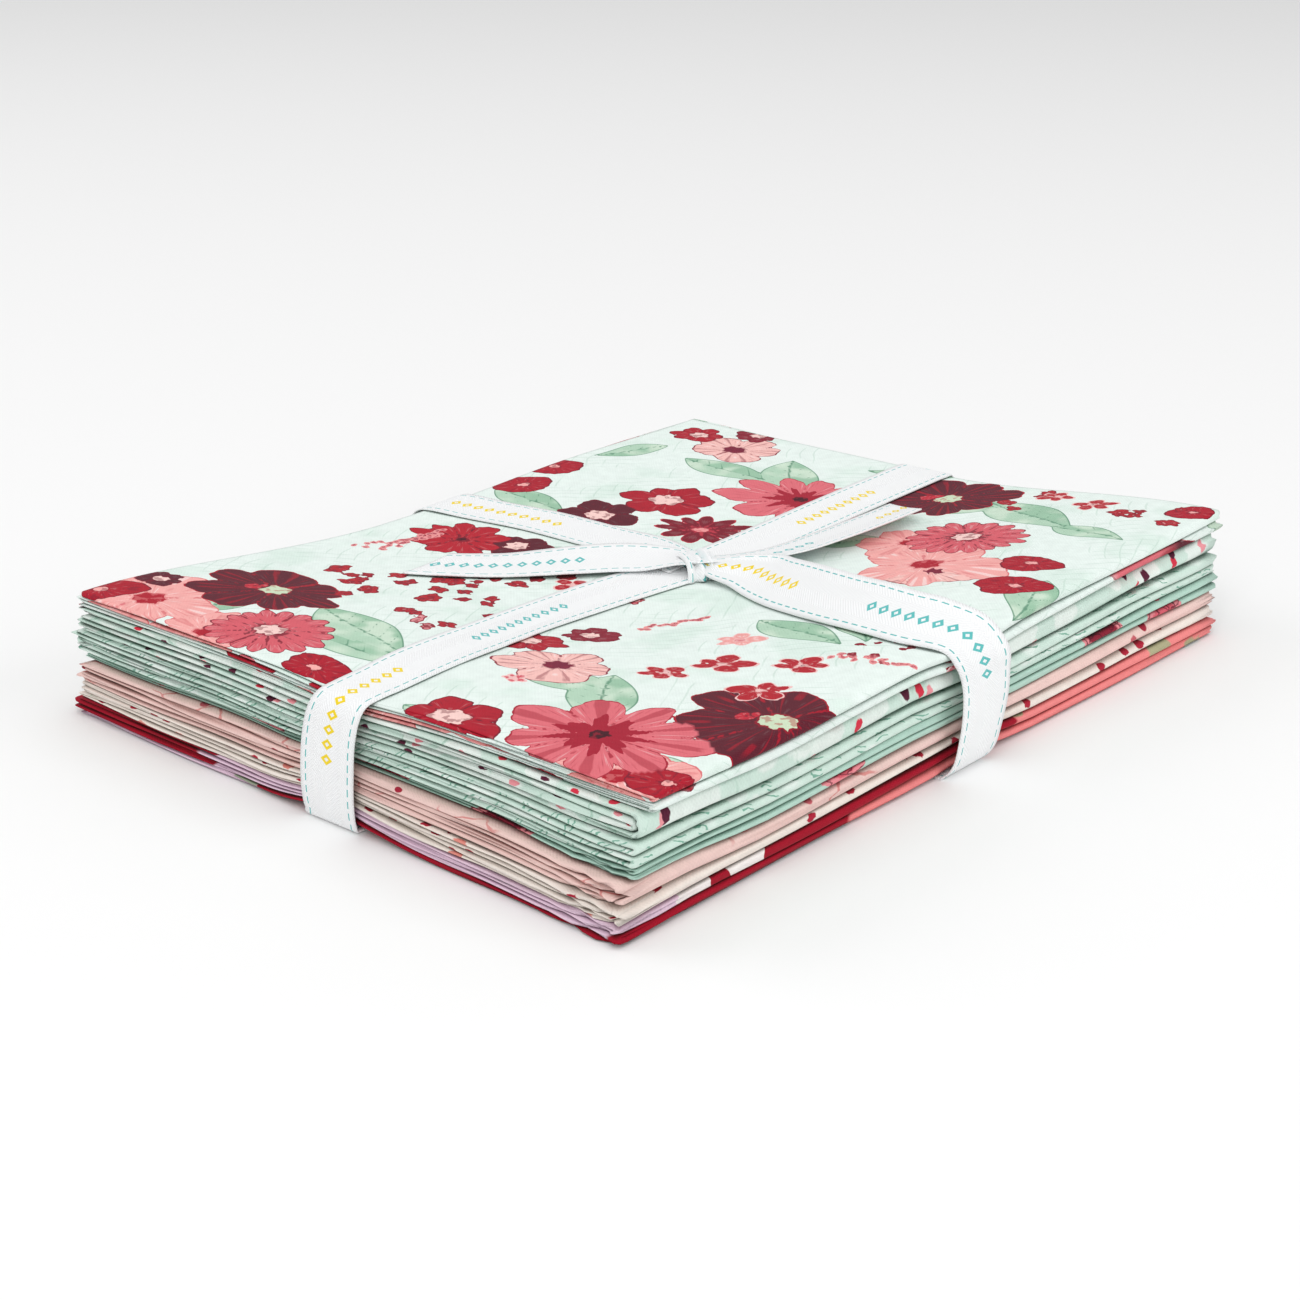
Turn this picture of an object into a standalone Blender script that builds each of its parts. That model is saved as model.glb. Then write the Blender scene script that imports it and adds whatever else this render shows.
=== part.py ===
"""Bundle of seven folded one-yard quilting cuts, tied crosswise with one ribbon.

Metres, +Z up. The origin is the middle of the underside. X runs along the side
that shows the cloth's long folds, and Y along the side that shows the panel ends.
Every cut is a separate folded slab. The ribbon is one strip on the real bundle:
here its two loops, its knot and its two free ends are separate solids, because
the ends lift at the knot.
"""
import math

import bmesh
import bpy
from mathutils import Matrix, Vector

# The folded cuts. A cut is 36 in by 44 in cloth: the width is folded in half twice
# and the length into four panels, which gives sixteen plies.
CUT_COUNT = 7
CUT_WIDTH = 0.224
CUT_LENGTH = 0.289
CUT_GAP = 0.0003
CELLS_X = 8
CELLS_Y = 10
LEVELS_PER_CUT = 8

# The bundle is fullest along its two folded sides, the front and the right, and the
# ribbon draws it flatter behind them.
FULL_HEIGHT = 0.0405
CENTRE_DIP = 0.0105
FRONT_REACH = 0.125
RIGHT_REACH = 0.110

# Each side of a cut shows its folds as rolls: how many, and how deep their grooves are.
FRONT_ROLLS, FRONT_GROOVE = 4, 0.0007
RIGHT_ROLLS, RIGHT_GROOVE = 2, 0.0012
BACK_ROLLS, BACK_GROOVE = 4, 0.0004
LEFT_ROLLS, LEFT_GROOVE = 2, 0.0006

# The ribbon. Its two loops cross under the bundle in shallow channels, and on top at the knot.
RIBBON_WIDTH = 0.021
RIBBON_THICKNESS = 0.0005
CLEARANCE = 0.0003
TOP_CLEARANCE = 0.0005
LOOP_CORNER = 0.0006
LOOP_CORNER_STEPS = 3
TOP_STATIONS = 14
LENGTHWISE_X = -0.0055
CROSSWISE_Y = 0.009
CHANNEL_DEPTH = 0.0017
RIBBON_LIFT = 0.0001

# The knot and the two free ends. An end leaves the knot gathered and opens to full width.
KNOT_RADIUS = 0.011
KNOT_HEIGHT = 0.008
KNOT_BEVEL = 0.0026
KNOT_SIDES = 24
TAIL_GATHERED_WIDTH = 0.013
TAIL_OPENING_LENGTH = 0.016
TAIL_RISE = 0.0015
HINGE_TO_KNOT = 0.0006
LEFT_TAIL_LENGTH = 0.0725
LEFT_TAIL_HEADING = math.radians(220.0)
LEFT_TAIL_SLANT = 0.0195
RIGHT_TAIL_LENGTH = 0.080
RIGHT_TAIL_HEADING = math.radians(77.0)
RIGHT_TAIL_SLANT = 0.005

# Heights that follow from the values above.
STEP_UP = RIBBON_THICKNESS + CLEARANCE
KNOT_BASE = FULL_HEIGHT - CENTRE_DIP + TOP_CLEARANCE + 2 * STEP_UP

# Name of each cut from the top down, with its main colour.
CUTS = [
    ("cut_1_mint_bouquet", (0.80, 0.90, 0.84)),
    ("cut_2_mint_cherry", (0.62, 0.78, 0.70)),
    ("cut_3_mint_sprig", (0.58, 0.75, 0.66)),
    ("cut_4_plain_mint", (0.42, 0.62, 0.52)),
    ("cut_5_blush_dash", (0.87, 0.62, 0.56)),
    ("cut_6_cream_petal", (0.88, 0.80, 0.72)),
    ("cut_7_crimson_poppy", (0.40, 0.01, 0.03)),
]
RIBBON_COLOUR = (0.90, 0.91, 0.90)


def clear_scene():
    """Remove every object of the open scene."""
    for old in list(bpy.data.objects):
        bpy.data.objects.remove(old, do_unlink=True)


def cloth_material(name, colour):
    """Make a rough, non-metallic material for woven cotton."""
    material = bpy.data.materials.new(name)
    material.use_nodes = True
    shader = material.node_tree.nodes["Principled BSDF"]
    shader.inputs["Base Color"].default_value = (*colour, 1.0)
    shader.inputs["Roughness"].default_value = 0.9
    shader.inputs["Metallic"].default_value = 0.0
    return material


def add_object(name, bm, colour):
    """Turn a bmesh into a named object with its own material."""
    bmesh.ops.recalc_face_normals(bm, faces=bm.faces)
    mesh = bpy.data.meshes.new(name)
    bm.to_mesh(mesh)
    bm.free()
    mesh.materials.append(cloth_material(name + "_cloth", colour))
    obj = bpy.data.objects.new(name, mesh)
    bpy.context.scene.collection.objects.link(obj)
    return obj


def bridge_rings(bm, rings, closed):
    """Join neighbouring rings of vertices with four-sided faces."""
    pairs = list(zip(rings, rings[1:]))
    if closed:
        pairs.append((rings[-1], rings[0]))
    for lower, upper in pairs:
        for i in range(len(lower)):
            j = (i + 1) % len(lower)
            bm.faces.new((lower[i], lower[j], upper[j], upper[i]))


def roll_inset(height, rolls, groove):
    """Depth of a side below its fullest line, at a height from 0 to 1 in the cut."""
    across = (height * rolls) % 1.0
    return groove * (1.0 - math.sqrt(1.0 - (2.0 * across - 1.0) ** 2))


def smooth_rise(value):
    """Rise from 0 to 1 with level ends, for a value from 0 to 1."""
    value = min(max(value, 0.0), 1.0)
    return value * value * (3.0 - 2.0 * value)


def stack_height(x, y):
    """Height of the bundle's top over a place on the floor."""
    from_front = smooth_rise((y + CUT_LENGTH / 2) / FRONT_REACH)
    from_right = smooth_rise((CUT_WIDTH / 2 - x) / RIGHT_REACH)
    return FULL_HEIGHT - CENTRE_DIP * from_front * from_right


def cut_grid(from_below, height):
    """Grid of points of a cut's level, at a height from 0 to 1 in the cut, keyed by column and row."""
    right = CUT_WIDTH / 2 - roll_inset(height, RIGHT_ROLLS, RIGHT_GROOVE)
    left = -CUT_WIDTH / 2 + roll_inset(height, LEFT_ROLLS, LEFT_GROOVE)
    back = CUT_LENGTH / 2 - roll_inset(height, BACK_ROLLS, BACK_GROOVE)
    front = -CUT_LENGTH / 2 + roll_inset(height, FRONT_ROLLS, FRONT_GROOVE)
    points = {}
    for column in range(CELLS_X + 1):
        for row in range(CELLS_Y + 1):
            x = left + (right - left) * column / CELLS_X
            y = front + (back - front) * row / CELLS_Y
            thickness = (stack_height(x, y) - (CUT_COUNT - 1) * CUT_GAP) / CUT_COUNT
            z = from_below * (thickness + CUT_GAP) + height * thickness
            points[column, row] = (x, y, z)
    return points


def edge_cells():
    """Columns and rows round the edge of a cut's grid, anticlockwise from above."""
    front = [(column, 0) for column in range(CELLS_X)]
    right = [(CELLS_X, row) for row in range(CELLS_Y)]
    back = [(column, CELLS_Y) for column in range(CELLS_X, 0, -1)]
    left = [(0, row) for row in range(CELLS_Y, 0, -1)]
    return front + right + back + left


def add_cut_face(bm, grid, ring):
    """Close one broad side of a cut with a grid of faces that meets its edge ring."""
    verts = dict(zip(edge_cells(), ring))
    for cell, place in grid.items():
        if cell not in verts:
            verts[cell] = bm.verts.new(place)
    for column in range(CELLS_X):
        for row in range(CELLS_Y):
            corners = [(column, row), (column + 1, row), (column + 1, row + 1), (column, row + 1)]
            bm.faces.new([verts[corner] for corner in corners])


def folded_cut(name, from_below, colour):
    """One folded cut as a slab whose sides carry the rolls of its folds."""
    bm = bmesh.new()
    grids = [cut_grid(from_below, level / LEVELS_PER_CUT) for level in range(LEVELS_PER_CUT + 1)]
    rings = [[bm.verts.new(grid[cell]) for cell in edge_cells()] for grid in grids]
    bridge_rings(bm, rings, closed=False)
    add_cut_face(bm, grids[0], rings[0])
    add_cut_face(bm, grids[-1], rings[-1])
    return add_object(name, bm, colour)


def channel_cutter(name, size_x, size_y, centre_x, centre_y):
    """Box that cuts the shallow channel in which a loop passes under the bundle."""
    bm = bmesh.new()
    bmesh.ops.create_cube(bm, size=1.0)
    size_z = 2 * CHANNEL_DEPTH
    bmesh.ops.scale(bm, vec=(size_x, size_y, size_z), verts=bm.verts)
    bmesh.ops.translate(bm, vec=(centre_x, centre_y, 0.0), verts=bm.verts)
    cutter = add_object(name, bm, RIBBON_COLOUR)
    cutter.hide_render = True
    cutter.display_type = "WIRE"
    return cutter


def cut_channels(bottom_cut):
    """Cut both ribbon channels into the underside of the lowest cut."""
    across = RIBBON_WIDTH + 2 * CLEARANCE
    beyond = 1.2
    cutters = [
        channel_cutter("lengthwise_channel", across, beyond * CUT_LENGTH, LENGTHWISE_X, 0.0),
        channel_cutter("crosswise_channel", beyond * CUT_WIDTH, across, 0.0, CROSSWISE_Y),
    ]
    for cutter in cutters:
        channel = bottom_cut.modifiers.new(cutter.name, "BOOLEAN")
        channel.operation = "DIFFERENCE"
        channel.object = cutter


def loop_stations(half_run):
    """Stations round a loop: distance along, rise above or below its run, whether on top, and outward."""
    stations = []
    corner_at = half_run - LOOP_CORNER
    for quarter, (side, on_top) in enumerate(((1, True), (-1, True), (-1, False), (1, False))):
        for step in range(LOOP_CORNER_STEPS + 1):
            angle = (quarter + step / LOOP_CORNER_STEPS) * math.pi / 2
            outward = Vector((math.cos(angle), math.sin(angle)))
            along = side * corner_at + LOOP_CORNER * outward.x
            rise = LOOP_CORNER * outward.y - (LOOP_CORNER if on_top else -LOOP_CORNER)
            stations.append((along, rise, on_top, outward))
        if quarter == 0:
            for step in range(1, TOP_STATIONS):
                along = corner_at * (1.0 - 2.0 * step / TOP_STATIONS)
                stations.append((along, 0.0, True, Vector((0.0, 1.0))))
    return stations


def ribbon_loop(name, half_run, bottom, lift, middle, runs_along_y):
    """One closed loop of ribbon round the bundle, following the bundle's top."""
    bm = bmesh.new()
    rings = []
    for along, rise, on_top, outward in loop_stations(half_run):
        ring = []
        for thickness, side in ((0.0, -1), (0.0, 1), (RIBBON_THICKNESS, 1), (RIBBON_THICKNESS, -1)):
            across = middle + side * RIBBON_WIDTH / 2
            run = bottom
            if on_top:
                run = lift + (stack_height(across, along) if runs_along_y else stack_height(along, across))
            distance = along + thickness * outward.x
            z = run + rise + thickness * outward.y
            ring.append(bm.verts.new((across, distance, z) if runs_along_y else (distance, across, z)))
        rings.append(ring)
    bridge_rings(bm, rings, closed=True)
    return add_object(name, bm, RIBBON_COLOUR)


def ribbon_knot():
    """Round, softened knot over the crossing of the two loops."""
    bm = bmesh.new()
    bmesh.ops.create_cone(
        bm, cap_ends=True, segments=KNOT_SIDES, radius1=KNOT_RADIUS, radius2=KNOT_RADIUS, depth=KNOT_HEIGHT
    )
    knot = add_object("ribbon_knot", bm, RIBBON_COLOUR)
    knot.location = (LENGTHWISE_X, CROSSWISE_Y, KNOT_BASE + KNOT_HEIGHT / 2)
    knot.data.shade_smooth()
    knot.data.set_sharp_from_angle(angle=math.radians(40))
    rounding = knot.modifiers.new("rounding", "BEVEL")
    rounding.width = KNOT_BEVEL
    rounding.segments = 3
    rounding.limit_method = "ANGLE"
    rounding.angle_limit = math.radians(60)
    return knot


def ribbon_tail(name, length, heading, slant):
    """Free end of the ribbon, cut at a slant, with its origin on the hinge line beside the knot."""
    half = RIBBON_WIDTH / 2
    narrow = TAIL_GATHERED_WIDTH / 2
    outline = [
        (0.0, -narrow),
        (TAIL_OPENING_LENGTH, -half),
        (length - slant / 2, -half),
        (length + slant / 2, half),
        (TAIL_OPENING_LENGTH, half),
        (0.0, narrow),
    ]
    bm = bmesh.new()
    rings = []
    for z in (-RIBBON_THICKNESS / 2, RIBBON_THICKNESS / 2):
        rings.append([bm.verts.new((x, y, z)) for x, y in outline])
    bridge_rings(bm, rings, closed=False)
    bm.faces.new(reversed(rings[0]))
    bm.faces.new(rings[1])
    tail = add_object(name, bm, RIBBON_COLOUR)
    reach = KNOT_RADIUS + HINGE_TO_KNOT
    tail.location = (
        LENGTHWISE_X + reach * math.cos(heading),
        CROSSWISE_Y + reach * math.sin(heading),
        KNOT_BASE + TAIL_RISE,
    )
    tail.rotation_euler = Matrix.Rotation(heading, 3, "Z").to_euler()
    return tail


def build_cuts():
    """Stack the seven cuts, the first one on top."""
    for order, (name, colour) in enumerate(CUTS):
        from_below = CUT_COUNT - 1 - order
        cut = folded_cut(name, from_below, colour)
    cut_channels(cut)


def build_ribbon():
    """Tie the ribbon: crosswise loop, lengthwise loop, knot and both free ends."""
    ribbon_loop(
        "ribbon_lengthwise_loop",
        half_run=CUT_LENGTH / 2 + CLEARANCE,
        bottom=RIBBON_LIFT + STEP_UP + RIBBON_THICKNESS,
        lift=TOP_CLEARANCE,
        middle=LENGTHWISE_X,
        runs_along_y=True,
    )
    ribbon_loop(
        "ribbon_crosswise_loop",
        half_run=CUT_WIDTH / 2 + CLEARANCE,
        bottom=RIBBON_LIFT + RIBBON_THICKNESS,
        lift=TOP_CLEARANCE + STEP_UP,
        middle=CROSSWISE_Y,
        runs_along_y=False,
    )
    ribbon_knot()
    ribbon_tail("ribbon_left_tail", LEFT_TAIL_LENGTH, LEFT_TAIL_HEADING, LEFT_TAIL_SLANT)
    ribbon_tail("ribbon_right_tail", RIGHT_TAIL_LENGTH, RIGHT_TAIL_HEADING, RIGHT_TAIL_SLANT)


clear_scene()
build_cuts()
build_ribbon()
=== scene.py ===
"""A tied bundle of seven folded quilting cottons: the cloth, its prints, the ribbon and the studio.

Each cut of cloth is one sheet, folded twice across its width and twice along its length, so every roll that
shows at the front and the right is a real turn of that sheet. Lengths are metres, +Z is up, and the folded
edges face -Y (the narrow rolls) and +X (the fat rolls).
"""

import functools
import math

import bpy
import numpy as np
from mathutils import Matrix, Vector


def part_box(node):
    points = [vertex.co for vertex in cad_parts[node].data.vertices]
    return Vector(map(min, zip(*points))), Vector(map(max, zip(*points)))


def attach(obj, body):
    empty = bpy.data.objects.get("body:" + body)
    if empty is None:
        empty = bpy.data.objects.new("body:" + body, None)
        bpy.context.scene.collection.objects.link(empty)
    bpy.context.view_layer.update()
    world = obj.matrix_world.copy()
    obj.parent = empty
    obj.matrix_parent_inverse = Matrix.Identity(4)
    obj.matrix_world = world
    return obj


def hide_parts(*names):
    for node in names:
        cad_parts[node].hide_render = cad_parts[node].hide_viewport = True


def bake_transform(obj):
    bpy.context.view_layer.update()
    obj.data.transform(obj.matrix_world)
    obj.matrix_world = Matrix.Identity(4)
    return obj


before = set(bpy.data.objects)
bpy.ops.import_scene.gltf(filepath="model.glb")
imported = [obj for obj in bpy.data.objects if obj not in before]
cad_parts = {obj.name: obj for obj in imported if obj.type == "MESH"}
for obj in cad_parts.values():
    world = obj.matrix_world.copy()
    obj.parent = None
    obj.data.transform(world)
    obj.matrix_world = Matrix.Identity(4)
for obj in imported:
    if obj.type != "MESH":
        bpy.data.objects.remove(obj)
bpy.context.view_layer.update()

bl_info = {
    "name": "Tied fabric bundle",
    "version": (1, 0, 0),
    "blender": (4, 5, 0),
    "location": "3D View > Sidebar > Bundle",
    "description": "Builds a bundle of folded quilting cottons tied with a twill ribbon",
    "category": "Object",
}

MM = 0.001
STACK = "tied_stack"
TAU = 2 * math.pi

# The stack's plan, from the CAD model's top cut, and its height: full along the front and the right, and
# lower by the dip past these reaches from them.
TOP_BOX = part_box("cut_1_mint_bouquet")
HALF_X = (TOP_BOX[1].x - TOP_BOX[0].x) / 2
HALF_Y = (TOP_BOX[1].y - TOP_BOX[0].y) / 2
FULL_HEIGHT = 0.0405
CENTRE_DIP = 0.0105
FRONT_REACH = 0.125
RIGHT_REACH = 0.110

# Folding: four panels along the cut, four plies across it. Levels are in plies: the four plies' about the
# middle of their panel, and the four panels' middles, folded to and fro or in half twice.
PANELS = 4
PLIES = 4
YARD = 0.914
CLOTH_WIDTH = 1.118
PANEL = YARD / PANELS
PLY = CLOTH_WIDTH / PLIES
HALF_TURN = 0.0035
PLY_LEVELS = (1.5, -1.5, -0.5, 0.5)
TO_AND_FRO = (14.0, 10.0, 6.0, 2.0)
HALVED = (14.0, 2.0, 6.0, 10.0)
UNITS = 16.0
ACTUAL_PLY = 0.00030
EDGE_BAND = 0.030

# The ribbon's two lines under the bundle.
LENGTHWISE_X = -0.0055
CROSSWISE_Y = 0.006
# Where the lengthwise ribbon goes over the front.
FRONT_X = 0.0040

# Shares of the stack's height, from the top cut down, along the front and along the right.
FRONT_SHARES = (0.105, 0.190, 0.180, 0.080, 0.170, 0.135, 0.140)
RIGHT_SHARES = (0.170, 0.180, 0.160, 0.130, 0.115, 0.090, 0.155)

# Each cut's name, its panels' levels, its shift in mm and its turn in degrees.
CUTS = (
    ("cut_1_mint_bouquet", TO_AND_FRO, (0.0, 0.0), 0.0),
    ("cut_2_mint_cherry", HALVED, (-1.4, -1.2), -0.5),
    ("cut_3_mint_sprig", TO_AND_FRO, (-1.2, -1.8), -0.9),
    ("cut_4_plain_mint", TO_AND_FRO, (-1.2, -0.6), -1.2),
    ("cut_5_blush_dash", HALVED, (-0.8, -3.2), -1.5),
    ("cut_6_cream_petal", HALVED, (-0.8, -3.8), -1.7),
    ("cut_7_crimson_poppy", TO_AND_FRO, (-0.6, -3.6), -1.9),
)


def linear(code):
    """A hex sRGB colour as the linear red, green, blue and alpha that Blender's sockets take."""
    parts = [int(code[i:i + 2], 16) / 255 for i in (1, 3, 5)]
    return tuple(c / 12.92 if c <= 0.04045 else ((c + 0.055) / 1.055) ** 2.4 for c in parts) + (1.0,)


def ease(value):
    """Smooth step from 0 to 1."""
    t = np.clip(value, 0, 1)
    return t * t * (3 - 2 * t)


def wobble(a, b, seed, waves=5):
    """A smooth, repeatable unevenness between about -1 and 1 over two coordinates."""
    rng = np.random.RandomState(seed)
    total = 0
    for _ in range(waves):
        fa, fb, phase = rng.uniform(0.5, 2.2), rng.uniform(0.5, 2.2), rng.uniform(0, TAU)
        total = total + np.sin(a * fa * rng.choice((-1, 1)) + b * fb + phase)
    return total / waves ** 0.5 / 1.4


# ---------------------------------------------------------------- properties


def length_property(name, description, default, precision=3):
    """A length that a maker would change."""
    return bpy.props.FloatProperty(
        name=name, description=description, default=default, unit="LENGTH", precision=precision)


def roll_property(name, side, default):
    """How far the rolls on one side bulge."""
    return bpy.props.FloatProperty(
        name=name, description=f"How far the {side} rolls bulge, against their plies' thickness",
        default=default, min=0.2, max=4.0)


def colour_property(name, description, code):
    """A colour that a maker would change."""
    return bpy.props.FloatVectorProperty(
        name=name, description=description, size=4, subtype="COLOR", default=linear(code), min=0, max=1)


class BundleSizes(bpy.types.PropertyGroup):
    """Sizes that a maker would change."""

    cloth_thickness: length_property("Cloth thickness", "Thickness of the quilting cotton", 0.0002, 5)
    narrow_roll_depth: roll_property("Narrow roll depth", "front", 2.1)
    fat_roll_depth: roll_property("Fat roll depth", "right", 1.7)
    ribbon_width: length_property("Ribbon width", "Width of the twill ribbon", 0.021)
    ribbon_thickness: length_property("Ribbon thickness", "Thickness of the twill ribbon", 0.00045, 5)
    motif_step: length_property("Motif step", "Spacing of the points that carry the top print", 0.00125, 5)


class BundleColours(bpy.types.PropertyGroup):
    """Colours that a maker would change, one ground for each cotton."""

    top_mint: colour_property("Top mint", "Ground of the large floral", "#eaf5f0")
    soft_mint: colour_property("Soft mint", "Ground of the cherry and sprig prints", "#d3e8dd")
    deep_mint: colour_property("Deep mint", "Ground of the plain mint print", "#b9d9cb")
    blush: colour_property("Blush", "Ground of the blush print", "#f1cfc8")
    cream: colour_property("Cream", "Ground of the cream print", "#f3e9e0")
    crimson: colour_property("Crimson", "Ground of the large petal print", "#a31229")
    ribbon: colour_property("Ribbon", "Bleached twill", "#fbfcfd")
    stitch: colour_property("Stitch", "Dashed line along both edges of the ribbon", "#5cbfbd")


def sizes():
    return bpy.context.scene.bundle_sizes


def chosen(name):
    """One of the bundle's colours."""
    return tuple(getattr(bpy.context.scene.bundle_colours, name))


# ---------------------------------------------------------------- the stack's shape


def stack_height(x, y):
    """Height of the bundle: full along the folded front and right edges, flatter in the middle and behind."""
    near_front = ease((y + HALF_Y) / FRONT_REACH)
    near_right = ease((HALF_X - x) / RIGHT_REACH)
    return FULL_HEIGHT - CENTRE_DIP * near_front * near_right


def settle(x, y, level):
    """World height of a level (0 floor, 1 top) once the ribbon has pulled the bundle in."""
    height = stack_height(x, y)
    front = np.exp(-((x - FRONT_X) / 0.021) ** 2) * ease((-0.105 - y) / 0.035)
    right = np.exp(-((y + 0.002) / 0.019) ** 2) * ease((x - 0.075) / 0.037)
    pull_down = 0.0022 * front + 0.0030 * right
    pull_up = 0.0024 * front + 0.0010 * right
    line = np.maximum(np.exp(-((x - LENGTHWISE_X) / 0.013) ** 2), np.exp(-((y - CROSSWISE_Y) / 0.013) ** 2))
    z = level * (height - pull_down) + (1 - level) * (0.0003 + 0.0013 * line + pull_up)
    corner = ease(1 - np.hypot(x - 0.104, y + 0.150) / 0.042)
    middle = np.sin(np.pi * np.clip(level, 0, 1))
    return z - corner * 0.0016 * middle + 0.0006 * wobble(x * 55, y * 55, 5) * middle


def band(cut, x, y):
    """Lowest and highest level of one cut in the stack, at a place."""
    front = np.array(FRONT_SHARES) / sum(FRONT_SHARES)
    right = np.array(RIGHT_SHARES) / sum(RIGHT_SHARES)
    mix = ease((y + HALF_Y + 0.004) / 0.055)
    above = front[:cut].sum() * (1 - mix) + right[:cut].sum() * mix
    own = front[cut] * (1 - mix) + right[cut] * mix
    return 1 - above - own, 1 - above


# ---------------------------------------------------------------- folding


def along_fold(flat, panel):
    """Where a flat place lies in a strip folded to and fro: the turn nearest it, the angle round that turn,
    and its share of the way from the first side to the second."""
    turn = np.clip(np.round(flat / panel), 1, 3).astype(int)
    offset = flat - turn * panel
    angle = np.clip((offset + HALF_TURN) / (2 * HALF_TURN), 0, 1) * math.pi
    index = np.where(offset < 0, turn - 1, turn)
    low = np.where(index > 0, HALF_TURN, 0.0)
    high = np.where(index < 3, panel - HALF_TURN, panel)
    share = np.clip((flat - index * panel - low) / (high - low), 0, 1)
    return turn, angle, np.where(index % 2 == 0, share, 1 - share)


def fold_cut(u, v, cut):
    """World positions of a cut's flat points (u along the yard, v across the cloth's width)."""
    name, panel_levels, offset, degrees = CUTS[cut]
    levels = np.array(panel_levels)
    plies = np.array(PLY_LEVELS)
    narrow, fat = sizes().narrow_roll_depth * ACTUAL_PLY, sizes().fat_roll_depth * ACTUAL_PLY

    turn, angle, across = along_fold(v, PLY)
    middle = (plies[turn - 1] + plies[turn]) / 2
    radius = plies[turn - 1] - middle
    ply = middle + radius * np.cos(angle)
    bulge_y = np.where(turn % 2 == 1, -1, 1) * np.abs(radius) * narrow * np.sin(angle) ** 0.8

    turn, angle, along = along_fold(u, PANEL)
    middle = (levels[turn - 1] + levels[turn]) / 2
    facing = np.where((turn - 1) % 2 == 0, 1, -1)
    radius = levels[turn - 1] - middle + facing * ply
    unit = middle + radius * np.cos(angle)
    bulge_x = np.where(turn % 2 == 1, 1, -1) * np.abs(radius) * fat * np.sin(angle) ** 0.8

    side_x = HALF_X - (7.5 if panel_levels is HALVED else 3.5) * fat
    x = -side_x + 2 * side_x * along + bulge_x
    side_y = HALF_Y - 1.5 * narrow
    y = side_y - 2 * side_y * across + bulge_y

    # No edge runs quite true, and those behind and on the left, which have the raw ends, run least true.
    front = ease((-y - HALF_Y + EDGE_BAND) / EDGE_BAND)
    right = ease((x - HALF_X + EDGE_BAND) / EDGE_BAND)
    back = ease((y - HALF_Y + EDGE_BAND) / EDGE_BAND)
    left = ease((-x - HALF_X + EDGE_BAND) / EDGE_BAND)
    seed = 11 * cut
    y += front * 0.0010 * wobble(x * 35, unit * 1.0, seed + 1)
    x += right * 0.0006 * wobble(y * 30, unit * 0.35, seed + 2)
    y += back * 0.0016 * wobble(x * 25, unit * 0.7, seed + 3)
    x += left * 0.0024 * wobble(y * 25, unit * 0.6, seed + 4)
    if name == "cut_4_plain_mint":
        # Drawn in along the front, up to the near corner.
        y += front * 0.0014 * ease((0.085 - x) / 0.03)

    spin = math.radians(degrees)
    x, y = x * math.cos(spin) - y * math.sin(spin), x * math.sin(spin) + y * math.cos(spin)
    x, y = x + offset[0] * MM, y + offset[1] * MM

    # The lower cuts are puckered at the near corner.
    crumple = ease(1 - np.hypot(x - 0.104, y + 0.148) / 0.030) * ease((cut - 1) / 3)
    y += crumple * 0.0012 * np.sin(unit * 0.9 + x * 420)
    x += crumple * 0.0008 * np.sin(unit * 1.3 + y * 350)
    low, high = band(cut, x, y)
    z = settle(x, y, low + (high - low) * unit / UNITS)
    return np.stack([x, y, z], -1)


def spaced(start, end, step):
    """Evenly spaced values from start to end, no further apart than step."""
    count = max(1, math.ceil((end - start) / step - 1e-9))
    return list(np.linspace(start, end, count + 1))


def fold_lines(panel, step, turn_steps):
    """Flat places of the grid lines across a strip of four panels, closer together round each turn."""
    lines = [0.0]
    for turn in range(1, 4):
        lines += spaced(lines[-1], turn * panel - HALF_TURN, step)[1:]
        lines += spaced(lines[-1], turn * panel + HALF_TURN, 2 * HALF_TURN / turn_steps)[1:]
    return np.array(lines + spaced(lines[-1], 4 * panel, step)[1:])


def refine(lines, stop, step):
    """The grid lines up to stop, with more between them, and the number of parts each interval has."""
    kept = lines[lines <= stop + 1e-9]
    parts = [max(1, math.ceil((b - a) / step - 1e-9)) for a, b in zip(kept[:-1], kept[1:])]
    fine = [kept[0]]
    for a, b, n in zip(kept[:-1], kept[1:], parts):
        fine += list(np.linspace(a, b, n + 1)[1:])
    return np.array(fine), np.concatenate([[0], np.cumsum(parts)]).astype(int)


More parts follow.
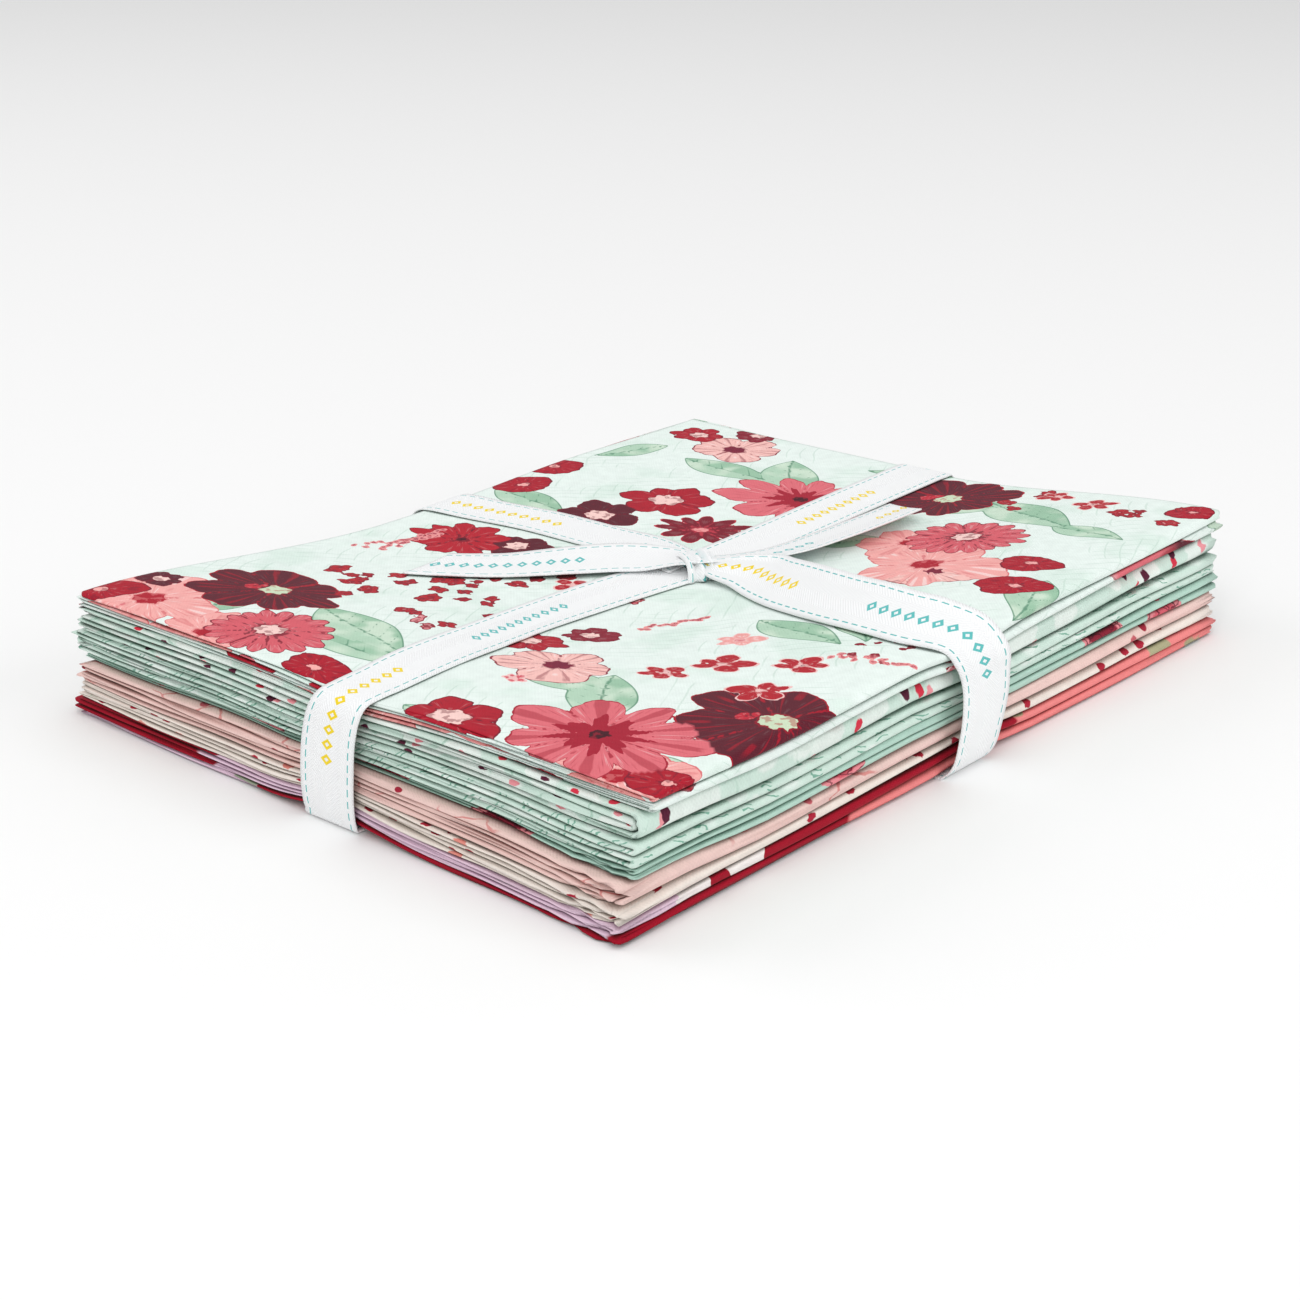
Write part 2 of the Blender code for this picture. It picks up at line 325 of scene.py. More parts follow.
def sheet_grid(u_lines, v_lines, fine_u=0.0, fine_v=0.0, step=0.002):
    """Flat points and faces of a sheet. The corner up to fine_u and fine_v is divided more finely, and the
    faces along its border take its extra points, so that the sheet stays whole."""
    fu, ustarts = refine(u_lines, fine_u, step)
    fv, vstarts = refine(v_lines, fine_v, step)
    nu, nv, ku, kv = len(u_lines), len(v_lines), len(ustarts) - 1, len(vstarts) - 1
    fine = np.arange(len(fu) * len(fv)).reshape(len(fu), len(fv))
    grid = np.full((nu, nv), -1)
    grid[:ku + 1, :kv + 1] = fine[np.ix_(ustarts, vstarts)]
    free = grid < 0
    grid[free] = fine.size + np.arange(free.sum())
    points = np.zeros((fine.size + free.sum(), 2))
    points[:fine.size] = np.stack(np.meshgrid(fu, fv, indexing="ij"), -1).reshape(-1, 2)
    points[fine.size:] = np.stack(np.meshgrid(u_lines, v_lines, indexing="ij"), -1)[free]
    faces = np.stack([fine[:-1, :-1], fine[1:, :-1], fine[1:, 1:], fine[:-1, 1:]], -1).reshape(-1, 4).tolist()
    for i in range(nu - 1):
        for j in range(nv - 1):
            if i < ku and j < kv:
                continue
            bottom = [grid[i, j], grid[i + 1, j]]
            left = [grid[i, j + 1], grid[i, j]]
            if j == kv and i < ku:
                bottom = list(fine[ustarts[i]:ustarts[i + 1] + 1, -1])
            if i == ku and j < kv:
                left = list(fine[-1, vstarts[j]:vstarts[j + 1] + 1])[::-1]
            faces.append([int(n) for n in bottom + [grid[i + 1, j + 1]] + left[:-1]])
    return points, faces


def make_sheet(name, positions, faces, flat, thickness, material):
    """A piece of cloth with its flat places as its texture map, given its thickness and shaded smooth."""
    mesh = bpy.data.meshes.new(name)
    mesh.from_pydata(positions.tolist(), [], faces)
    corner = np.zeros(len(mesh.loops), np.int32)
    mesh.loops.foreach_get("vertex_index", corner)
    layer = mesh.uv_layers.new(name="flat")
    layer.data.foreach_set("uv", flat[corner].astype(np.float32).ravel())
    mesh.materials.append(material)
    mesh.shade_smooth()
    piece = bpy.data.objects.new(name, mesh)
    bpy.context.scene.collection.objects.link(piece)
    solid = piece.modifiers.new("thickness", "SOLIDIFY")
    solid.thickness = thickness
    solid.offset = 0
    return piece


def applied(piece):
    """The piece with its modifiers made part of its mesh."""
    graph = bpy.context.evaluated_depsgraph_get()
    graph.update()
    mesh = bpy.data.meshes.new_from_object(
        piece.evaluated_get(graph), preserve_all_data_layers=True, depsgraph=graph)
    piece.modifiers.clear()
    piece.data = mesh
    mesh.name = piece.name
    return piece


# ---------------------------------------------------------------- the top print's flowers

# Each bloom: plan x and y in mm, radius in mm, petals, notch depth, ragged edge, squash, turn in degrees,
# then petal, line and heart colours, and the heart's and the inner star's shares of the radius.
MAROON, CRIMSON, CORAL, SALMON, BLUSH = "#5f1f2d", "#b01b2e", "#d95f6b", "#f5aeaa", "#f9d2cc"
DARK, PALE_GREEN, LEAF_LINE, ROSE = "#451521", "#cfe0c2", "#5f9176", "#ee9a9a"


def kind(petals, notch, ragged, squash, petal, line, heart, share, star=0.0):
    """A kind of bloom. It is then placed by plan x and y, radius and turn, with its own colours if given."""
    def placed(x, y, radius, turn=0, petal=petal, heart=heart, share=share):
        return (x, y, radius, petals, notch, ragged, squash, turn, petal, line, heart, share, star)
    return placed


peony = kind(7, 0.26, 0.06, 0.86, MAROON, CRIMSON, PALE_GREEN, 0.20)
daisy = kind(17, 0.24, 0.03, 0.92, CORAL, "#7d1a2e", BLUSH, 0.23)
poppy = kind(3, 0.12, 0.03, 0.72, CRIMSON, "#7d1a2e", SALMON, 0.20)
five_petal = kind(5, 0.62, 0.05, 0.85, "#b5222f", "#f6c9c6", DARK, 0.10)
anemone = kind(5, 0.34, 0.05, 0.88, "#f8c3bd", "#8a2038", "#7c1f3a", 0.24)
pale_eyed = kind(6, 0.30, 0.06, 0.90, CRIMSON, "#7c1b2e", BLUSH, 0.34)
full_coral = kind(9, 0.40, 0.08, 0.88, "#e0707a", "#a81f35", DARK, 0.11, 0.36)
double_red = kind(9, 0.34, 0.09, 0.88, "#b81f30", "#74172a", DARK, 0.10)
spiky = kind(11, 0.45, 0.10, 0.80, "#7f1a2c", "#c43a4a", ROSE, 0.16)
salmon_petals = kind(5, 0.30, 0.08, 0.95, SALMON, "#dc7478", CRIMSON, 0.20)


def cluster(x, y, spread, count, seed, paint="#b5222f", size=3.7):
    """Small loose petals scattered round a place."""
    rng = np.random.RandomState(seed)
    places = rng.uniform(-1, 1, (count, 2)) * spread
    turns = rng.uniform(0, 360, count)
    scales = rng.uniform(0.7, 1.25, count)
    return [(x + p[0], y + p[1], size * k, 4, 0.50, 0.05, 0.8, t, paint, "#8d1c2e", ROSE, 0.16, 0.0)
            for p, t, k in zip(places, turns, scales)]


def sprig(x, y, length, turn, seed, paint="#b04a58"):
    """Tiny buds along a stem."""
    rng = np.random.RandomState(seed)
    along = np.linspace(0, length, 14)
    side = rng.uniform(-2.4, 2.4, 14) * np.linspace(1.2, 0.3, 14)
    c, s = math.cos(math.radians(turn)), math.sin(math.radians(turn))
    places = [(x + a * c - b * s, y + a * s + b * c, turn + 40 * b) for a, b in zip(along, side)]
    return [(px, py, 1.7, 1, 0, 0.1, 0.7, bud_turn, paint, ROSE, ROSE, 0, 0) for px, py, bud_turn in places]


# Leaves: plan x and y of the middle, length, width, turn in degrees.
LEAVES = (
    (60, -105, 46, 19, 118), (44, -98, 44, 15, 175), (-29, -108, 52, 20, 160), (-18, -121, 46, 12, 176),
    (66, -24, 40, 15, 160), (80, -15, 26, 11, 130), (59, 112, 52, 20, 150), (30, 112, 38, 14, 25),
    (108, 34, 34, 17, 100), (-35, 105, 46, 20, 120), (-58, 100, 44, 15, 172), (-90, 30, 40, 15, 165),
    (-74, -122, 26, 12, 60), (-60, -136, 22, 13, 100), (88, 100, 30, 12, 165), (20, 62, 26, 12, 40),
    (76, 52, 24, 12, 75), (-48, -4, 30, 9, 15), (96, -132, 30, 12, 20), (-100, 96, 30, 12, 60),
    (36, -142, 30, 10, 170), (-6, 138, 34, 12, 20),
)

BACK_BLOOMS = (
    [salmon_petals(-92, -134, 25, 20), salmon_petals(60, 50, 25, 15), salmon_petals(40, 70, 17, 60)]
    + [anemone(30, -89, 18, 14), anemone(-72, 121, 18, 14), anemone(66, 43, 19, 50)]
    + [spiky(-25, 43, 17, 20), pale_eyed(-61, 33, 15, 10, MAROON), full_coral(-102, -138, 20, 5)]
    + [salmon_petals(97, -140, 22, 100), salmon_petals(-58, -142, 17, 30)]
    + cluster(-39, -30, 13, 9, 3) + cluster(35, 133, 15, 9, 4) + cluster(-3, -23, 8, 5, 5, "#cf5c67")
    + [pale_eyed(-61, -8, 12, 30, MAROON), poppy(-103, 41, 12, 60), poppy(-108, 64, 12, 40)]
)
MIDDLE_BLOOMS = (
    [peony(-75, -100, 25, 12), peony(107, -88, 28, 12), peony(21, 121, 25, 40)]
    + [daisy(-46, -128, 20, 8), daisy(54, 82, 21, 8)]
    + [full_coral(76, -124, 30, 18), full_coral(-19, 90, 28, 18)]
    + [pale_eyed(-54, 60, 17, 24), pale_eyed(38, -141, 17, 4), double_red(-79, -15, 18, 0)]
    + [pale_eyed(7, -76, 11, 20), pale_eyed(15, -58, 9, 50, "#8c1f33")]
    + [pale_eyed(-94, 128, 11, 20), pale_eyed(-76, 142, 9, 50, "#8c1f33")]
    + [poppy(-16, -139, 12, 10), poppy(98, 41, 12, 30), poppy(90, 63, 11, 10), poppy(109, -136, 11, 20)]
    + [poppy(-108, -139, 13, 60), pale_eyed(-104, -119, 8, 10, MAROON), poppy(106, 136, 9, 60)]
)
FRONT_BLOOMS = (
    [five_petal(58, -75, 8, 10), five_petal(66, -60, 10, 30), five_petal(89, -73, 9.5, 50)]
    + [five_petal(86, -50, 9, 20), five_petal(-3, -22, 6, 0, CORAL), five_petal(-22, -24, 7.5, 25)]
    + [five_petal(55, 136, 7, 10), five_petal(72, 130, 8, 40), five_petal(-98, 8, 6, 15)]
    + [five_petal(55, -38, 8, 40, "#f0a3a0", CORAL, 0.2), five_petal(30, -107, 4.5, 0, CORAL)]
    + cluster(-70, -72, 15, 11, 6) + cluster(-33, -68, 17, 12, 7) + cluster(-52, -48, 12, 8, 8)
    + cluster(-20, -84, 9, 5, 9, "#e48a90", 2.4) + cluster(98, -27, 9, 7, 10, "#a63c4a", 2.0)
    + sprig(20, -42, 22, 60, 11) + sprig(88, -38, 24, 12, 12, "#c65d68") + sprig(-98, -44, 30, 70, 13)
    + sprig(96, -18, 18, 25, 14, "#c65d68") + cluster(96, 128, 12, 8, 15) + sprig(-92, -40, 28, 88, 16)
)
# A red fleck beside each peony's heart.
fleck = kind(3, 0.4, 0.1, 0.6, "#c22b3c", MAROON, MAROON, 0, 0)
FRONT_BLOOMS += [fleck(x - 6.5, y - 1.5, 5.2, 60) for x, y in ((-75, -100), (105, -88), (21, 121))]
PRINT_LAYERS = (BACK_BLOOMS, MIDDLE_BLOOMS, FRONT_BLOOMS)
NOWHERE = -6.0
# The print's repeat in mm, and how far one repeat is shifted against the last.
REPEAT_X, REPEAT_Y, DROP_X, DROP_Y, MARGIN = 188, 210, 96, 2, 9


def print_place(flat):
    """Print coordinates in mm of flat places. Past the top panel the repeat starts again, half dropped."""
    side_x = HALF_X - 3.5 * sizes().fat_roll_depth * ACTUAL_PLY
    side_y = HALF_Y - 1.5 * sizes().narrow_roll_depth * ACTUAL_PLY
    x = (flat[:, 0] / (PANEL - HALF_TURN) - 0.5) * 2 * side_x / MM
    y = (0.5 - flat[:, 1] / (PLY - HALF_TURN)) * 2 * side_y / MM
    drops = np.where(y < -HALF_Y / MM - MARGIN, np.ceil((-HALF_Y / MM - y) / REPEAT_Y), 0)
    y, x = y + drops * REPEAT_Y, x + drops * DROP_X
    wraps = np.where(x > HALF_X / MM + MARGIN, np.ceil((x - HALF_X / MM) / REPEAT_X), 0)
    return x - wraps * REPEAT_X, y - wraps * DROP_Y


def leaf_fields(x, y):
    """Distance inside the nearest leaf's outline, to its midrib and veins, and across it, in mm."""
    inside, line, side = np.full(len(x), NOWHERE), np.full(len(x), 9.0), np.zeros(len(x))
    for cx, cy, length, width, turn in LEAVES:
        c, s = math.cos(math.radians(turn)), math.sin(math.radians(turn))
        along = ((x - cx) * c + (y - cy) * s) / (length / 2)
        across = -(x - cx) * s + (y - cy) * c - 1.6 * np.sin(along * 2.2)
        reach = width / 1.9 * np.clip(1 - np.abs(along) ** 1.7, 0, 1) * (1 + 0.40 * along)
        here = np.where(np.abs(along) < 1.05, reach - np.abs(across), NOWHERE)
        vein = np.abs(((along * length / 2 - np.abs(across)) / 6.0) % 1 - 0.5) * 6.0
        nearer = here > inside
        line = np.where(nearer, np.minimum(np.abs(across), vein + 0.15), line)
        side = np.where(nearer, across, side)
        inside = np.where(nearer, here, inside)
    return inside, line, side


def bloom_fields(blooms, x, y, seed):
    """Smooth fields of one layer of flowers at print places in mm: distance inside the outline, the heart and
    the star, distance to a petal's edge, share of the radius, and the three colours."""
    n = len(x)
    fields = {"inside": np.full(n, NOWHERE), "line": np.full(n, 9.0), "heart": np.full(n, NOWHERE),
              "star": np.full(n, NOWHERE), "share": np.ones(n)}
    paints = {key: np.ones((n, 4)) for key in ("petal", "edge", "eye")}
    rng = np.random.RandomState(seed)
    for bloom in blooms:
        cx, cy, radius, petals, notch, ragged, squash, turn, petal, edge, eye, heart, star = bloom
        phases = rng.uniform(0, TAU, 3)
        near = np.flatnonzero(np.hypot(x - cx, y - cy) < radius * 1.5 + 5)
        c, s = math.cos(math.radians(turn)), math.sin(math.radians(turn))
        px = (x[near] - cx) * c + (y[near] - cy) * s
        py = (-(x[near] - cx) * s + (y[near] - cy) * c) / squash
        r, a = np.hypot(px, py), np.arctan2(py, px)
        uneven = min(1.0, 7 / petals)
        a = a + uneven * (0.22 * np.sin(a + phases[0]) + 0.10 * np.sin(2 * a + phases[1]))
        lobe = np.abs(np.cos(a * petals / 2)) ** 0.6
        sway = 1 + uneven * (0.10 * np.sin(a + phases[2]) + 0.07 * np.sin(3 * a + phases[0]))
        edge_noise = (np.sin(a * 5 + phases[0]) + np.sin(a * 11 + phases[1])
                      + 0.4 * np.sin(a * 23 + phases[2]))
        rim = radius * sway * (1 - notch * (1 - lobe)) * (1 + ragged * edge_noise / 2)
        here = np.clip((rim - r) * (0.95 if notch < 0.4 else 0.8), NOWHERE, None)
        nearer = here > fields["inside"][near]
        at, r, a = near[nearer], r[nearer], a[nearer]
        fields["inside"][at] = here[nearer]
        fields["line"][at] = np.abs(2 / petals * r * np.cos(a * petals / 2))
        fields["heart"][at] = heart * radius * (1 + 0.12 * np.sin(a * 7 + phases[1])) - r
        points = 1 + 0.30 * np.cos(a * petals) + 0.20 * np.sin(a * 13 + phases[0]) + 0.14 * np.sin(a * 29)
        fields["star"][at] = star * radius * points - r
        fields["share"][at] = r / radius
        for key, code in (("petal", petal), ("edge", edge), ("eye", eye)):
            paints[key][at] = linear(code)
    return fields, paints


def paint_print(mesh, flat):
    """Stores the top print's fields on the mesh: two vectors and three colours for each layer of flowers."""
    x, y = print_place(flat)

    def store(name, kind, values):
        attribute = mesh.attributes.new(name, kind, "POINT")
        field = "vector" if kind == "FLOAT_VECTOR" else "color"
        attribute.data.foreach_set(field, np.ascontiguousarray(values, np.float32).ravel())

    store("leaf", "FLOAT_VECTOR", np.stack(leaf_fields(x, y), -1))
    for k, blooms in enumerate(PRINT_LAYERS):
        fields, paints = bloom_fields(blooms, x, y, 40 + k)
        store(f"shape_{k}", "FLOAT_VECTOR", np.stack([fields[f] for f in ("inside", "line", "heart")], -1))
        store(f"tone_{k}", "FLOAT_VECTOR", np.stack([fields["star"], fields["share"], fields["line"]], -1))
        for key, values in paints.items():
            store(f"{key}_{k}", "FLOAT_COLOR", values)


# ---------------------------------------------------------------- materials


MODES = {"Math": "operation", "VectorMath": "operation", "MapRange": "interpolation_type",
         "TexVoronoi": "feature", "MixRGB": "blend_type"}
SMOOTH = "MapRange:SMOOTHSTEP"


def add(tree, kind, *values, **settings):
    """Adds one node, its mode after a colon. Its inputs follow in order, or by name in a dictionary; each is
    a number, a colour, a socket, or a node, whose first output is meant."""
    kind, _, mode = kind.partition(":")
    node = tree.nodes.new("ShaderNode" + kind)
    if mode:
        setattr(node, MODES[kind], mode)
    for key, value in settings.items():
        setattr(node, key, value)
    named = values[0] if values and isinstance(values[0], dict) else dict(enumerate(values))
    for key, value in named.items():
        if isinstance(value, bpy.types.Node):
            value = value.outputs[0]
        if isinstance(value, bpy.types.NodeSocket):
            tree.links.new(value, node.inputs[key])
        else:
            node.inputs[key].default_value = value
    return node


def new_material(name):
    """An empty material, and the way to add nodes to it."""
    material = bpy.data.materials.new(name)
    material.use_nodes = True
    material.node_tree.nodes.clear()
    return material, functools.partial(add, material.node_tree)


def new_cloth(name):
    """An empty material, the way to add nodes to it, and the cloth's flat map."""
    material, node = new_material(name)
    return material, node, node("UVMap", uv_map="flat").outputs[0]


def lay_inks(node, colour, *inks):
    """The colour with inks laid over it in turn, each a mask, a colour and, if given, how much it covers."""
    for mask, ink, *cover in inks:
        if cover:
            mask = node("Math:MULTIPLY", mask, cover[0])
        colour = node("MixRGB", mask, colour, linear(ink) if isinstance(ink, str) else ink)
    return colour


# Threads of the cottons and ribs of the ribbon as drawn, in m.
THREAD_STEP = 0.00062
RIB_STEP = 0.0011


def woven_finish(node, flat, colour):
    """Plain-woven quilting cotton, printed and pressed: matt, with a faint fuzz of sheen at its folds. Its
    creases
    carry painted shade: where ambient occlusion finds cloth within 3 mm, the colour is multiplied by itself
    and by grey, as if light had passed from cloth to cloth. Its threads are 0.34 mm apart, drawn at about
    twice that because the true ones are too fine to show, with painted shade where they dip and painted light
    where they rise."""
    split = node("SeparateXYZ", flat)
    warp, weft = (node("Math:SINE", node("Math:MULTIPLY", split.outputs[i], math.pi / THREAD_STEP))
                  for i in (0, 1))
    crossing = node("Math:MULTIPLY", warp, weft)
    slub = node("TexNoise", {"Vector": flat, "Scale": 900.0, "Detail": 2.0})
    height = node("Math:ADD", crossing, node("Math:MULTIPLY", slub, 0.9))
    bump = node("Bump", {"Height": height, "Strength": 0.30, "Distance": 0.00012})
    mottle = node("TexNoise", {"Vector": flat, "Scale": 260.0, "Detail": 4.0})
    shade = node("MapRange", mottle, 0.3, 0.7, 0.95, 1.03)
    # Painted light and shade of the weave: darker where the threads dip, a little lighter where they rise, in
    # step with the bump.
    weave_light_and_shade = node("MapRange", crossing, -1.0, 1.0, 0.965, 1.02)
    mottled_weave_shaded = node("HueSaturation", {"Color": colour, "Value": node("Math:MULTIPLY", shade, weave_light_and_shade)})
    # Painted shade in the creases: the colour goes darker where ambient occlusion finds cloth close by.
    near = node("AmbientOcclusion", {"Distance": 0.0030}, samples=8)
    outside_crease_shade = node("MapRange", near.outputs["AO"], 0.12, 0.80, 0.0, 1.0)
    crease_shaded = node("MixRGB:MULTIPLY", 1.0, mottled_weave_shaded, mottled_weave_shaded)
    crease_shaded = node("MixRGB:MULTIPLY", 1.0, crease_shaded, (0.42, 0.42, 0.42, 1.0))
    shader = node("BsdfPrincipled", {
        "Base Color": node("MixRGB", outside_crease_shade, crease_shaded, mottled_weave_shaded), "Roughness": 0.9, "IOR": 1.46,
        "Specular IOR Level": 0.12, "Sheen Weight": 0.06, "Sheen Roughness": 0.5, "Normal": bump})
    node("OutputMaterial", shader)


def wavy(node, flat, scale, amount):
    """The flat map pushed about by noise, so that printed shapes look brushed by hand."""
    noise = node("TexNoise", {"Vector": flat, "Scale": scale, "Detail": 2.0})
    centred = node("VectorMath:SUBTRACT", noise.outputs["Color"], (0.5, 0.5, 0.5))
    return node("VectorMath:ADD", flat, node("VectorMath:SCALE", {0: centred, 3: amount}))


def scattered(node, place, spacing, radius, offset=0.0, density=1.0, randomness=0.8, soft=0.12):
    """Mask of blobs of a radius strewn at a spacing, both in metres, and each blob's own random value."""
    moved = node("VectorMath:ADD", place, (offset, offset * 0.7, 0.0))
    cells = node("TexVoronoi", {"Vector": moved, "Scale": 1 / spacing, "Randomness": randomness},
                 voronoi_dimensions="2D")
    picked = node("SeparateColor", cells.outputs["Color"])
    share = radius / spacing
    blob = node(SMOOTH, cells.outputs["Distance"], share * (1 + soft), share * (1 - soft))
    return node("Math:MULTIPLY", blob, node("Math:LESS_THAN", picked, density)), picked.outputs[1]


def outlines(node, place, spacing, width, offset=0.0, cover=0.5):
    """Thin drawn lines between cells, broken up by noise, like pen work."""
    moved = node("VectorMath:ADD", place, (offset, offset, 0.0))
    cells = node("TexVoronoi:DISTANCE_TO_EDGE", {"Vector": moved, "Scale": 1 / spacing},
                 voronoi_dimensions="2D")
    line = node(SMOOTH, cells, width / spacing, width / spacing * 0.4)
    patch = node("TexNoise", {"Vector": moved, "Scale": 0.45 / spacing, "Detail": 1.0})
    return node("Math:MULTIPLY", line, node(SMOOTH, patch, 1 - cover, 1.08 - cover))


def twin_strokes(node, place, spacing, length, apart, width):
    """Pairs of short slanted brush strokes, one pair to a cell; all in metres."""
    cells = node("TexVoronoi", {"Vector": place, "Scale": 1 / spacing, "Randomness": 0.65},
                 voronoi_dimensions="2D")
    away = node("SeparateXYZ", node("VectorMath:SUBTRACT", place, cells.outputs["Position"]))
    slanted = node("Math:ADD", away, node("Math:MULTIPLY", away.outputs[1], 0.35))
    off = node("Math:ABSOLUTE", node("Math:SUBTRACT", node("Math:ABSOLUTE", slanted), apart))
    stroke = node(SMOOTH, off, width * 1.3, width * 0.6)
    ends = node(SMOOTH, node("Math:ABSOLUTE", away.outputs[1]), length, length * 0.8)
    return node("Math:MULTIPLY", stroke, ends)


def bloom_layer(node, under, k, flat):
    """One layer of the large floral over the colour under it, from the fields stored on the mesh."""
    shape, tone = (node("Attribute", attribute_name=f"{key}_{k}").outputs["Vector"]
                   for key in ("shape", "tone"))
    inside, line, heart = node("SeparateXYZ", shape).outputs
    star, share, _ = node("SeparateXYZ", tone).outputs
    petal, edge, eye = (node("Attribute", attribute_name=f"{key}_{k}").outputs["Color"]
                        for key in ("petal", "edge", "eye"))
    fine = node("TexNoise", {"Vector": flat, "Scale": 330.0, "Detail": 3.0})
    ragged = node("MapRange", fine, 0.3, 0.7, -0.35, 0.35)
    broad = node("TexNoise", {"Vector": flat, "Scale": 120.0, "Detail": 1.0})
    turned = node("Math:DIVIDE", line, node("Math:MAXIMUM", share, 0.15))
    streak_place = node("CombineXYZ", node("Math:MULTIPLY", turned, 0.8), share)
    streak = node("TexNoise", {"Vector": streak_place, "Scale": 1.0, "Detail": 2.0})
    lit = node("Math:MULTIPLY", node(SMOOTH, streak, 0.43, 0.38), 0.9)
    lit = node("Math:MULTIPLY", lit, node("RGBToBW", petal))
    star_mask = node(SMOOTH, node("Math:ADD", star, ragged), -0.1, 0.35)
    seam = node(SMOOTH, node("Math:ADD", line, ragged), 0.55, 0.25)
    seam = node("Math:MULTIPLY", seam, node(SMOOTH, broad, 0.36, 0.46))
    frayed = node("Math:ADD", heart, node("Math:MULTIPLY", ragged, 2.2))
    halo = node(SMOOTH, node("Math:ADD", frayed, 0.7), 0.0, 0.3)
    speckled = lay_inks(node, eye, (node(SMOOTH, fine, 0.52, 0.60), edge, 0.55))
    bloom = lay_inks(
        node, petal, (node(SMOOTH, streak, 0.56, 0.62), node("MixRGB", 0.55, petal, edge)), (lit, "#fff4f2"),
        (star_mask, edge), (seam, edge, 0.85), (node(SMOOTH, inside, 0.72, 0.50), edge, 0.95),
        (halo, edge, 0.5), (node(SMOOTH, frayed, 0.0, 0.3), speckled))
    return lay_inks(node, under, (node(SMOOTH, node("Math:ADD", inside, ragged), 0.0, 0.12), bloom))


def fern_work(node, flat, ground):
    """Faint pen drawing of fronds and grasses between the flowers, in patches, over a pale wash."""
    wash = node("TexNoise", {"Vector": flat, "Scale": 38.0, "Detail": 2.0})
    lines = 0.0
    for scale, turned, shift in ((60.0, 0.5, 0.0), (75.0, 2.3, 0.31)):
        place = node("VectorRotate", {"Vector": flat, "Angle": turned}, rotation_type="Z_AXIS")
        frond = node("TexWave", {"Vector": place, "Scale": scale, "Distortion": 5.0, "Detail": 1.0,
                                 "Detail Scale": 0.7})
        shifted = node("VectorMath:ADD", place, (shift, shift, 0.0))
        patch = node("TexNoise", {"Vector": shifted, "Scale": 42.0, "Detail": 1.0})
        pen = node("Math:MULTIPLY", node(SMOOTH, frond, 0.955, 0.99), node(SMOOTH, patch, 0.53, 0.58))
        lines = node("Math:MAXIMUM", pen, lines)
    return lay_inks(node, ground, (node(SMOOTH, wash, 0.50, 0.66), "#d3e9dd", 0.5), (lines, "#8fbaa2", 0.24))


def large_floral(node, flat):
    """A large floral screen-printed on pale mint in flat opaque inks with drawn outlines."""
    leaf = node("Attribute", attribute_name="leaf").outputs["Vector"]
    inside, vein, side = node("SeparateXYZ", leaf).outputs
    shade = node("TexNoise", {"Vector": flat, "Scale": 90.0, "Detail": 1.0})
    green = lay_inks(
        node, linear("#9dc5a9"), (node(SMOOTH, side, -0.3, 0.3), "#b5d5bd"),
        (node(SMOOTH, shade, 0.45, 0.65), "#cfe4d0"), (node(SMOOTH, vein, 0.62, 0.2), LEAF_LINE, 0.85),
        (node(SMOOTH, inside, 0.8, 0.35), LEAF_LINE, 0.85))
    ground = fern_work(node, flat, chosen("top_mint"))
    colour = lay_inks(node, ground, (node(SMOOTH, inside, -0.05, 0.2), green))
    for k in range(len(PRINT_LAYERS)):
        colour = bloom_layer(node, colour, k, flat)
    return colour


def cherry_print(node, flat):
    """White blossom, small pink buds and dark cherries on mint."""
    hand = wavy(node, flat, 140.0, 0.006)
    loose = wavy(node, flat, 420.0, 0.0022)
    petals, _ = scattered(node, hand, 0.016, 0.0066, 0.02, 0.85)
    buds, value = scattered(node, loose, 0.0125, 0.0016, 0.11, 0.42)
    cherries, _ = scattered(node, loose, 0.0140, 0.0016, 0.31, 0.55)
    pink = lay_inks(node, linear("#d9344a"), (node(SMOOTH, value, 0.5, 0.52), "#f19aa2"))
    return lay_inks(
        node, chosen("soft_mint"), (outlines(node, hand, 0.012, 0.0006, 0.1, 0.5), "#b3d2c2"),
        (petals, "#f4f8f4", 0.65), (outlines(node, hand, 0.0085, 0.00035, 0.5, 0.36), "#8fb8a2", 0.6),
        (buds, pink), (cherries, "#5a1f36"))


def sprig_print(node, flat):
    """Short leafy brush strokes in pairs on mint, over paler washes."""
    hand = wavy(node, flat, 180.0, 0.005)
    washes, _ = scattered(node, hand, 0.012, 0.0042, 0.2, 0.6, soft=0.5)
    strokes = twin_strokes(node, hand, 0.0092, 0.0026, 0.00095, 0.00030)
    return lay_inks(node, chosen("soft_mint"), (washes, "#eaf4ee"), (strokes, "#74ac96", 0.9))


def sparse_flower_print(node, flat):
    """A few pink flowers, dark inside, on a fuller mint."""
    hand = wavy(node, flat, 260.0, 0.005)
    flowers, value = scattered(node, hand, 0.052, 0.0105, 0.22, 0.80, 0.9, 0.03)
    dark, _ = scattered(node, hand, 0.052, 0.0068, 0.22, 0.80, 0.9, 0.10)
    inner = lay_inks(node, linear("#8c2236"), (node(SMOOTH, value, 0.45, 0.50), "#d8606e"))
    flower = lay_inks(node, linear("#ec9098"), (dark, inner))
    streaks = node("Math:MULTIPLY", outlines(node, hand, 0.0050, 0.0005, 0.1, 0.65), flowers)
    return lay_inks(node, chosen("deep_mint"), (flowers, flower), (streaks, "#5c1a2a", 0.8))


def pen_stroke_print(node, flat):
    """Thin coral pen strokes and a few red buds on blush pink."""
    hand = wavy(node, flat, 120.0, 0.006)
    strokes = outlines(node, hand, 0.017, 0.0006, 0.2, 0.42)
    buds, value = scattered(node, hand, 0.022, 0.0017, 0.5, 0.45)
    red = lay_inks(node, linear("#c9616a"), (node(SMOOTH, value, 0.6, 0.62), "#a8283c"))
    return lay_inks(node, chosen("blush"), (strokes, "#dc8a86", 0.9), (buds, red))


